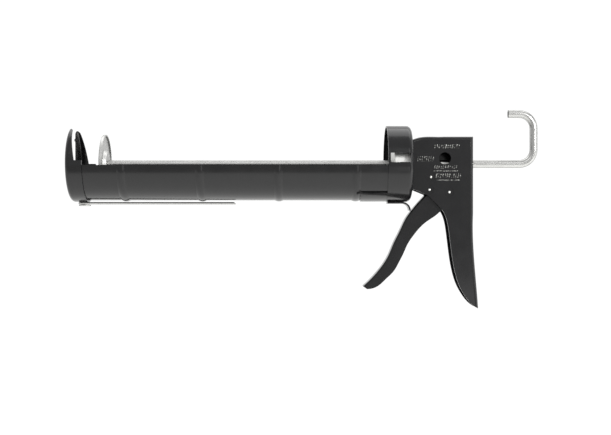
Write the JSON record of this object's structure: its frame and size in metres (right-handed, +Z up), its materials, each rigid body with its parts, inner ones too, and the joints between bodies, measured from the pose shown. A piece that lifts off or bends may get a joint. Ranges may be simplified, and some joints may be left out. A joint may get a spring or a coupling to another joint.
{
  "type": "caulking gun",
  "caption": "Ratchet-rod caulking gun with a half-round cradle, horned front cap, rear cup, folded steel handle and trigger, hooked toothed push rod, plunger disc and a swing-out seal pin.",
  "frame": {"origin": "on the push rod's axis at the rear cup's inner back face, where the cartridge's plunger end is seated", "axes": "+X along the rod from the nozzle end to the handle and hook, +Z up, away from the grip; the cradle opens to +Z"},
  "size_m": [0.335, 0.0546, 0.1422],
  "materials": {
    "enamel": "gloss black baked enamel on pressed sheet steel",
    "zinc": "bright zinc plate, faint grain",
    "rod_steel": "drawn steel rod, bright zinc plated, fine lengthwise grain",
    "pin_steel": "bright turned steel with peened ends",
    "hardened_steel": "dark heat-treated steel with a film of grease",
    "spring_wire": "drawn wire, lightly plated"
  },
  "bodies": {
    "frame": {"cradle": "enamel", "front_cap": "enamel", "rear_cup": "enamel", "cradle_saddle": "enamel", "trigger_stop": "enamel", "seal_pin_rivet": "zinc", "rod_bushing": "zinc", "bushing_ring": "zinc", "handle_frame": "enamel", "trigger_pivot_pin": "pin_steel", "stop_pin": "pin_steel", "holding_pawl_pin": "pin_steel", "holding_pawl_spacer": "pin_steel", "holding_pawl_spring": "spring_wire", "trigger_return_spring": "spring_wire"},
    "trigger": {"trigger": "enamel", "drive_pawl_pin": "pin_steel", "drive_pawl_spacer": "pin_steel", "drive_pawl_spring": "spring_wire"},
    "drive_pawl": {"drive_pawl": "hardened_steel"},
    "holding_pawl": {"holding_pawl": "hardened_steel"},
    "plunger": {"pressure_disc": "zinc", "disc_washer": "zinc"},
    "rod": {"push_rod": "rod_steel"},
    "seal_pin": {"seal_pin": "spring_wire"}
  },
  "joints": [
    {"name": "trigger_squeeze", "type": "hinge", "parent": "frame", "child": "trigger", "pos_m": [0.0279, 0, -0.0204], "axis": [0, -1, 0], "range_deg": [0, 36], "stiffness_Nm_per_rad": 0.25, "springref_deg": -34.38, "deforming": ["trigger_return_spring"]},
    {"name": "drive_pawl_turn", "type": "hinge", "parent": "trigger", "child": "drive_pawl", "pos_m": [0.031, 0, -0.0109], "axis": [0, -1, 0], "range_deg": [-36, 0], "deforming": ["drive_pawl_spring"]},
    {"name": "holding_pawl_lift", "type": "hinge", "parent": "frame", "child": "holding_pawl", "pos_m": [0.0148, 0, -0.0096], "axis": [0, -1, 0], "range_deg": [0, 12], "stiffness_Nm_per_rad": 0.002, "springref_deg": -28.65, "deforming": ["holding_pawl_spring"]},
    {"name": "plunger_slide", "type": "slide", "parent": "frame", "child": "plunger", "axis": [1, 0, 0], "range_m": [-0.0205, 0.2032]},
    {"name": "rod_turn", "type": "hinge", "parent": "plunger", "child": "rod", "pos_m": [-0.2165, 0, 0], "axis": [1, 0, 0], "continuous": true},
    {"name": "seal_pin_swing", "type": "hinge", "parent": "frame", "child": "seal_pin", "pos_m": [-0.2333, 0, -0.0283], "axis": [0, 0, 1], "continuous": true}
  ],
  "couplings": [
    {"joint": "drive_pawl_turn", "follows": "trigger_squeeze", "ratio": -1}
  ]
}
